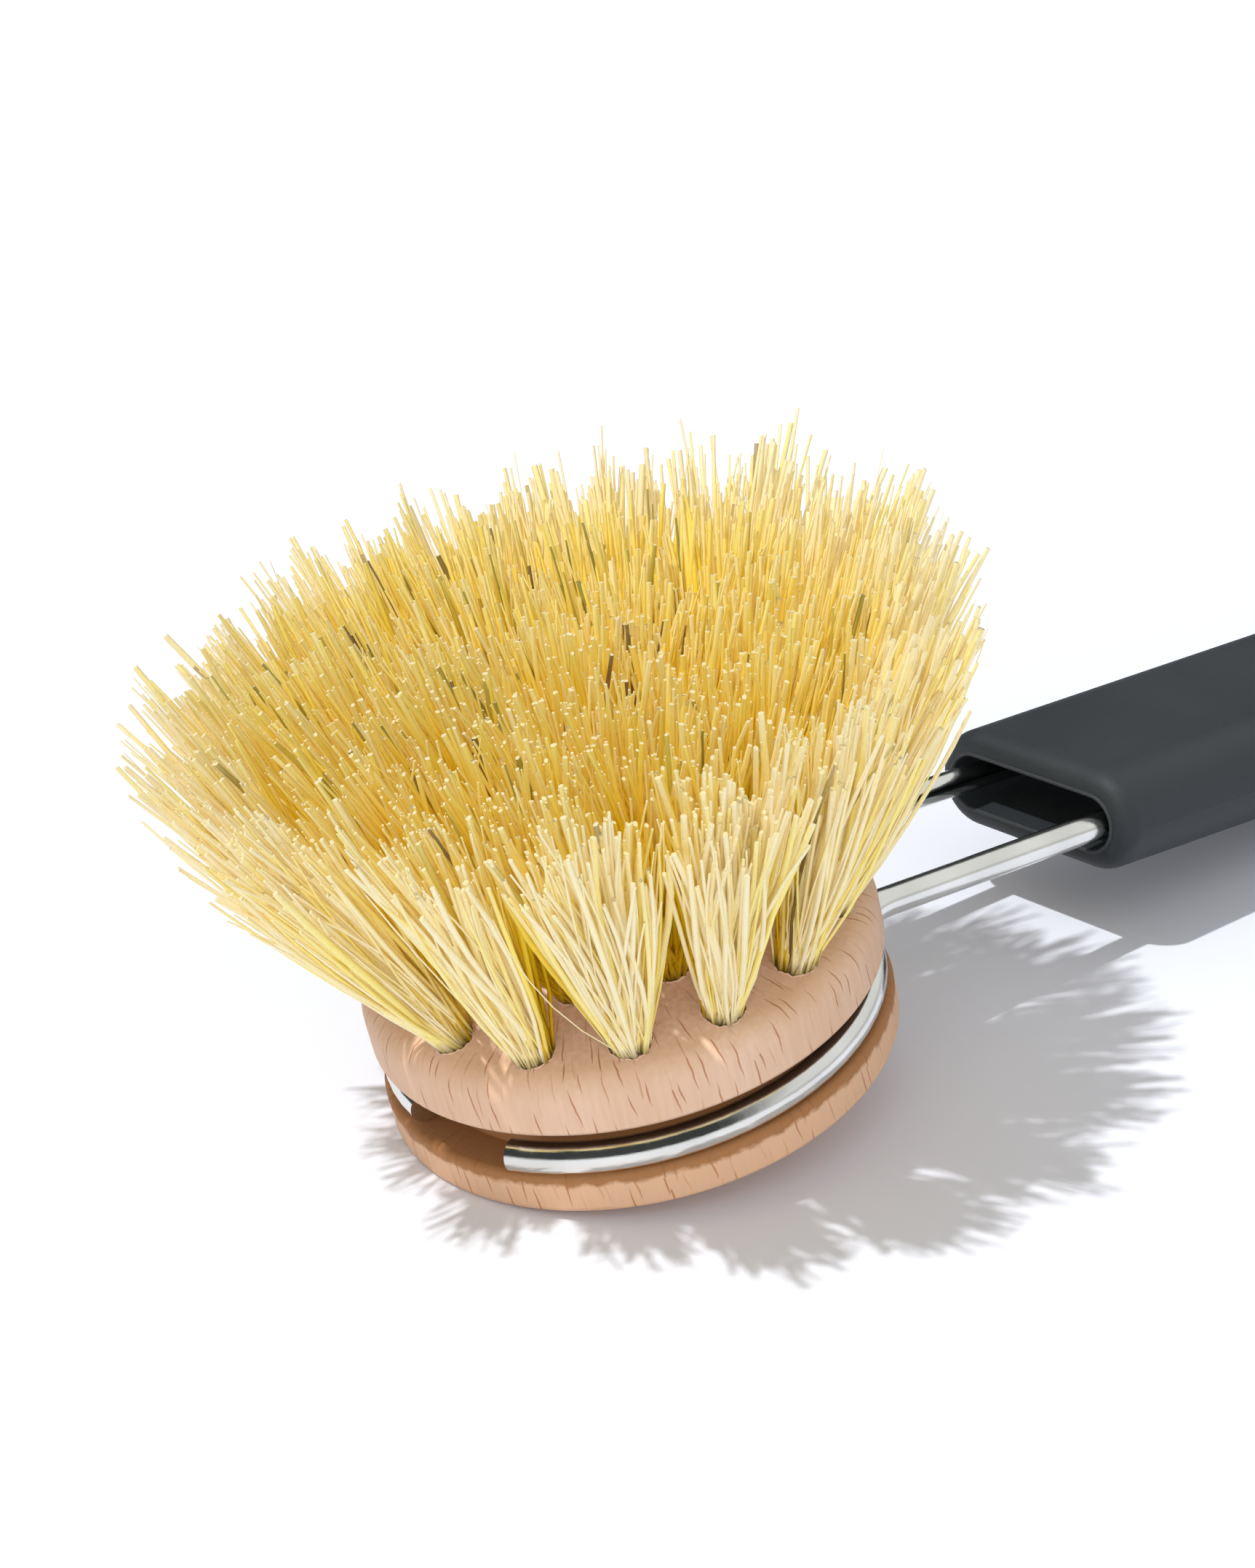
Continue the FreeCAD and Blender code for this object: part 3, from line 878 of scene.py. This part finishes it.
def grown(name, tree, values, place, seeds=()):
    """A plain mesh object from a node tree, grown on seed points and put in its place."""
    base = bpy.data.meshes.new(name)
    base.from_pydata(seeds, [], [])
    maker = bpy.data.objects.new(name, base)
    bpy.context.scene.collection.objects.link(maker)
    modifier = maker.modifiers.new("grow", "NODES")
    modifier.node_group = tree
    for item in tree.interface.items_tree:
        if item.item_type == "SOCKET" and item.in_out == "INPUT" and item.name in values:
            modifier[item.identifier] = values[item.name]
    settled = maker.evaluated_get(bpy.context.evaluated_depsgraph_get())
    mesh = bpy.data.meshes.new_from_object(settled)
    maker.modifiers.remove(modifier)
    maker.data = mesh
    mesh.name = name
    mesh.transform(place)
    if not mesh.polygons:
        raise RuntimeError(f"{name} came out empty")
    return maker


burr_inputs = {
    "NodeSocketGeometry": ("Hole Mouths",),
    "NodeSocketFloat": ("Hole Radius", "Burr Size", "Crown Middle"),
    "NodeSocketMaterial": ("Wood",),
}
# Points round a hole, sides of the torn wood, size of its tears, and how far they swing
burr_points = 36
burr_sides = 5
burr_grain = 2600.0
burr_swing = 2.4


def ring_of_burrs():
    """Node tree that puts a torn wooden lip round each hole mouth."""
    tree, sheet, given = new_tree("ring_of_burrs", burr_inputs, "Burrs")
    place = sheet.add("GeometryNodeInputPosition").outputs[0]
    middle = sheet.joined(0.0, 0.0, given["Crown Middle"])
    upright = sheet.vector("SUBTRACT", place, middle)
    facing = sheet.add("FunctionNodeAlignRotationToVector", {"Vector": upright}, axis="Z")
    mouths = sheet.add("GeometryNodeMeshToPoints", {0: given["Hole Mouths"]})
    rim = sheet.add("GeometryNodeCurvePrimitiveCircle", {
        "Resolution": burr_points,
        "Radius": given["Hole Radius"],
    })
    rims = sheet.add("GeometryNodeInstanceOnPoints", {
        "Points": mouths.outputs[0],
        "Instance": rim.outputs[0],
        "Rotation": facing.outputs[0],
    })
    geometry = sheet.add("GeometryNodeRealizeInstances", {0: rims.outputs[0]}).outputs[0]
    torn = sheet.add("ShaderNodeTexNoise", {"Vector": place, "Scale": burr_grain, "Detail": 3.0})
    centred = sheet.vector("SUBTRACT", torn.outputs[1], (0.5, 0.5, 0.45))
    shift = sheet.vector("SCALE", centred, sheet.product(given["Burr Size"], burr_swing))
    geometry = sheet.add("GeometryNodeSetPosition", {0: geometry, "Offset": shift}).outputs[0]
    uneven = sheet.ranged(torn.outputs[0], 0.35, 0.65, 0.2, 1.0)
    thick = sheet.product(uneven, given["Burr Size"], 0.5)
    section = sheet.add("GeometryNodeCurvePrimitiveCircle", {"Resolution": burr_sides, "Radius": 1.0})
    swept = sheet.add("GeometryNodeCurveToMesh", {
        "Curve": geometry,
        "Profile Curve": section.outputs[0],
        "Scale": thick,
    })
    end_tree(sheet, swept.outputs[0], given["Wood"])
    return tree


lip_inputs = {
    "NodeSocketFloat": ("Width", "Height", "Bead"),
    "NodeSocketMaterial": ("Silicone",),
}
lip_sides = 8
lip_corner_steps = 12
# Just under half the height, so that the ends are round and no two points fall together
lip_rounding = 0.4999


def bead_of_lip():
    """Node tree that runs a fine moulded bead round the pocket of the grip."""
    tree, sheet, given = new_tree("bead_of_lip", lip_inputs, "Lip")
    box = sheet.add("GeometryNodeCurvePrimitiveQuadrilateral", {
        "Width": given["Width"],
        "Height": given["Height"],
    })
    rounded = sheet.add("GeometryNodeFilletCurve", {
        0: box.outputs[0],
        "Count": lip_corner_steps,
        "Radius": sheet.product(given["Height"], lip_rounding),
        "Limit Radius": True,
    }, mode="POLY")
    section = sheet.add("GeometryNodeCurvePrimitiveCircle", {
        "Resolution": lip_sides,
        "Radius": given["Bead"],
    })
    swept = sheet.add("GeometryNodeCurveToMesh", {
        "Curve": rounded.outputs[0],
        "Profile Curve": section.outputs[0],
    })
    smooth = sheet.add("GeometryNodeSetShadeSmooth", {0: swept.outputs[0]})
    end_tree(sheet, smooth.outputs[0], given["Silicone"])
    return tree


def tuft_plan(bristles):
    """Name, angle and reaches of every tuft."""
    for ring, (name, tufts, first, inside, outside) in enumerate(tuft_rings):
        middle = bristles.tip_reach * (inside + outside) / 2
        half_depth = bristles.tip_reach * (outside - inside) / 2
        half_width = middle * math.sin(math.pi / tufts)
        if tufts == 1:
            middle = 0.0
            half_depth = bristles.tip_reach * outside
            half_width = half_depth
        for step in range(tufts):
            label = name if tufts == 1 else f"{name}_{step + 1:02d}"
            angle = math.radians(first + step * 360 / tufts)
            yield label, angle, ring * bristles.ring_pitch, middle, half_depth, half_width


class DISHBRUSH_OT_stage(bpy.types.Operator):
    """Sets the floor, the light and the camera"""

    bl_idname = "dish_brush.stage"
    bl_label = "Set the stage"

    def execute(self, context):
        stage = context.scene.dish_brush_stage
        self.lay_floor(context, stage)
        self.hang_lamps(context, stage)
        self.light_room(context, stage)
        self.set_camera(context, stage)
        context.scene.view_settings.view_transform = "Standard"
        context.scene.cycles.diffuse_bounces = stage.bounces
        context.scene.cycles.max_bounces = stage.bounces
        return {"FINISHED"}

    def lay_floor(self, context, stage):
        """A plain floor under the lowest point of the brush."""
        half = stage.floor_size / 2
        corners = [(-half, -half, 0), (half, -half, 0), (half, half, 0), (-half, half, 0)]
        mesh = bpy.data.meshes.new("floor")
        mesh.from_pydata(corners, [], [(0, 1, 2, 3)])
        mesh.materials.append(floor_finish(stage))
        floor = bpy.data.objects.new("floor", mesh)
        floor.location.z = cad_low.z
        context.scene.collection.objects.link(floor)

    def hang_lamps(self, context, stage):
        """The sun that throws the shadow, and a soft light that throws none."""
        self.hang_sun(context, "sun", sun_way, stage.sun_strength, stage.sun_width)
        fill = self.hang_sun(context, "fill", fill_way, stage.fill_strength, stage.fill_width)
        fill.data.use_shadow = False
        fill.visible_glossy = False

    def hang_sun(self, context, name, way, energy, width):
        """One sun, whose light falls the given way."""
        light = bpy.data.lights.new(name, "SUN")
        light.energy = energy
        light.angle = width
        lamp = bpy.data.objects.new(name, light)
        lamp.rotation_mode = "QUATERNION"
        lamp.rotation_quaternion = Vector(way).to_track_quat("-Z", "Y")
        context.scene.collection.objects.link(lamp)
        return lamp

    def light_room(self, context, stage):
        """Even light from all round, a white background, and a room for the metal to mirror."""
        world = bpy.data.worlds.new("studio")
        world.use_nodes = True
        context.scene.world = world
        world.node_tree.nodes.clear()
        sheet = NodeSheet(world.node_tree)
        even = sheet.add("ShaderNodeBackground", {0: (1, 1, 1, 1), 1: stage.sky_strength})
        white = sheet.add("ShaderNodeBackground", {0: (1, 1, 1, 1), 1: 1.0})
        across, away, rise = sheet.parts(sheet.add("ShaderNodeTexCoord").outputs["Generated"])
        # Dark parts of that room: its front, its far wall and a low haze
        front = sheet.product(
            sheet.ranged(across, 0.3, -0.15),
            sheet.ranged(rise, 0.1, 0.2),
            sheet.ranged(rise, 0.98, 0.92),
        )
        behind = sheet.product(sheet.ranged(away, 0.3, 0.5), sheet.ranged(rise, 0.75, 0.6))
        haze = sheet.product(sheet.ranged(rise, 0.02, 0.12), sheet.ranged(rise, 0.34, 0.2), 0.3)
        dark = sheet.number("MAXIMUM", sheet.number("MAXIMUM", front, behind), haze)
        room = sheet.mixed(dark, opaque(room_pale), opaque(room_dark))
        mirrored = sheet.add("ShaderNodeBackground", {0: room, 1: 1.0})
        path = sheet.add("ShaderNodeLightPath").outputs
        shiny = sheet.add("ShaderNodeMixShader", {
            0: path["Is Glossy Ray"],
            1: even.outputs[0],
            2: mirrored.outputs[0],
        })
        seen = sheet.number("MAXIMUM", path["Is Camera Ray"], path["Is Transmission Ray"])
        mix = sheet.add("ShaderNodeMixShader", {0: seen, 1: shiny.outputs[0], 2: white.outputs[0]})
        sheet.add("ShaderNodeOutputWorld", {0: mix.outputs[0]})

    def set_camera(self, context, stage):
        """A camera near the head, looking down across it towards the handle."""
        camera = bpy.data.cameras.new("camera")
        camera.lens = stage.lens
        camera.sensor_width = camera_sensor
        camera.clip_start = camera_nearest
        turn = Matrix((camera_right, camera_up, camera_back)).transposed()
        holder = bpy.data.objects.new("camera", camera)
        holder.matrix_world = Matrix.Translation(camera_place) @ turn.to_4x4()
        context.scene.collection.objects.link(holder)
        context.scene.camera = holder


class DISHBRUSH_OT_bristles(bpy.types.Operator):
    """Grows one tuft of fibres in each hole"""

    bl_idname = "dish_brush.bristles"
    bl_label = "Grow the bristles"

    def execute(self, context):
        bristles = context.scene.dish_brush_bristles
        tree = fan_of_fibres()
        fibre = fibre_finish(bristles)
        shared = {name.replace("_", " ").title(): getattr(bristles, name) for name in shared_settings}
        chance = random.Random(bristles.seed)
        for place, plan in enumerate(tuft_plan(bristles)):
            label, angle, foot, tip, half_depth, half_width = plan
            fullness = chance.uniform(*inner_fullness)
            if label.startswith("outer"):
                gain = max(-thin_side_loss, full_side_gain * math.cos(angle - full_side))
                fullness = chance.uniform(*outer_fullness) + gain
            tilt = bristles.trim_tilt * math.cos(angle - high_side) * tip / bristles.tip_reach
            values = {
                **shared,
                "Fibres": bristles.fibres + chance.randint(-fibres_spread, fibres_spread),
                "Seed": bristles.seed + seed_step * place,
                "Foot Reach": foot,
                "Tip Reach": tip + chance.uniform(*reach_spread) + splayed.get(label, 0.0),
                "Tip Depth": half_depth * min(fullness, deepest_fullness),
                "Tip Width": half_width * fullness,
                "Brush Reach": bristles.tip_reach,
                "Trim Top": bristles.brush_height + tilt + chance.uniform(*trim_spread),
                "Fibre": fibre,
            }
            turned = head_place @ Matrix.Rotation(angle, 4, "Z")
            tuft = grown(f"bristles_{label}", tree, values, turned)
            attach(tuft, "head")
            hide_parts(f"tuft_{label}")
        return {"FINISHED"}


class DISHBRUSH_OT_wood(bpy.types.Operator):
    """Finishes the turned beech head"""

    bl_idname = "dish_brush.wood"
    bl_label = "Finish the wood"

    def execute(self, context):
        wood = context.scene.dish_brush_wood
        bristles = context.scene.dish_brush_bristles
        beech = beech_finish(wood)
        dress("wooden_head", beech)
        crown_middle = bristles.crown_top - bristles.crown_radius
        mouths = []
        for _, angle, foot, *_ in tuft_plan(bristles):
            height = crown_middle + math.sqrt(bristles.crown_radius ** 2 - foot ** 2)
            mouths.append((foot * math.cos(angle), foot * math.sin(angle), height))
        values = {
            "Hole Radius": wood.hole_radius,
            "Burr Size": wood.burr_size,
            "Crown Middle": crown_middle,
            "Wood": beech,
        }
        burrs = grown("hole_burrs", ring_of_burrs(), values, head_place, mouths)
        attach(burrs, "head")
        return {"FINISHED"}


class DISHBRUSH_OT_metal(bpy.types.Operator):
    """Finishes the wire handle and the tuft anchors"""

    bl_idname = "dish_brush.metal"
    bl_label = "Finish the metal"

    def execute(self, context):
        metal = context.scene.dish_brush_metal
        dress("wire_handle", wire_finish(metal))
        dress("tuft_anchors", anchor_finish(metal))
        return {"FINISHED"}


class DISHBRUSH_OT_grip(bpy.types.Operator):
    """Finishes the silicone grip"""

    bl_idname = "dish_brush.grip"
    bl_label = "Finish the grip"

    def execute(self, context):
        grip = context.scene.dish_brush_grip
        dress("grip_sleeve", silicone_finish("matt_silicone", grip.silicone, grip.worn))
        values = {
            "Width": grip.mouth_width,
            "Height": grip.mouth_height,
            "Bead": grip.lip_bead,
            # Paler silicone on the lip: partly wear, partly a painted highlight along the mouth
            "Silicone": silicone_finish("rubbed_lip_with_painted_highlight", grip.worn, grip.lip),
        }
        lip = grown("grip_lip", bead_of_lip(), values, mouth_place)
        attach(lip, "handle")
        return {"FINISHED"}


class DISHBRUSH_PT_panel(bpy.types.Panel):
    """Lists the steps that make the dish brush"""

    bl_label = "Dish brush"
    bl_space_type = "VIEW_3D"
    bl_region_type = "UI"
    bl_category = "Dish brush"

    def draw(self, context):
        for step, settings in steps:
            box = self.layout.box()
            box.operator(step.bl_idname)
            group = getattr(context.scene, settings)
            for setting in group.bl_rna.properties:
                if setting.identifier not in ("rna_type", "name"):
                    box.prop(group, setting.identifier)


steps = (
    (DISHBRUSH_OT_stage, "dish_brush_stage"),
    (DISHBRUSH_OT_bristles, "dish_brush_bristles"),
    (DISHBRUSH_OT_wood, "dish_brush_wood"),
    (DISHBRUSH_OT_metal, "dish_brush_metal"),
    (DISHBRUSH_OT_grip, "dish_brush_grip"),
)
setting_groups = {
    "dish_brush_stage": StageSettings,
    "dish_brush_bristles": BristleSettings,
    "dish_brush_wood": WoodSettings,
    "dish_brush_metal": MetalSettings,
    "dish_brush_grip": GripSettings,
}
classes = (*setting_groups.values(), *(step for step, _ in steps), DISHBRUSH_PT_panel)


def register():
    """Makes the settings, the steps and the panel known."""
    for part in classes:
        bpy.utils.register_class(part)
    for name, group in setting_groups.items():
        setattr(bpy.types.Scene, name, PointerProperty(type=group))


def unregister():
    """Takes them away again."""
    for name in setting_groups:
        delattr(bpy.types.Scene, name)
    for part in reversed(classes):
        bpy.utils.unregister_class(part)


def main():
    """Makes the whole brush."""
    register()
    bpy.ops.dish_brush.stage()
    bpy.ops.dish_brush.bristles()
    bpy.ops.dish_brush.wood()
    bpy.ops.dish_brush.metal()
    bpy.ops.dish_brush.grip()


if __name__ == "__main__":
    main()
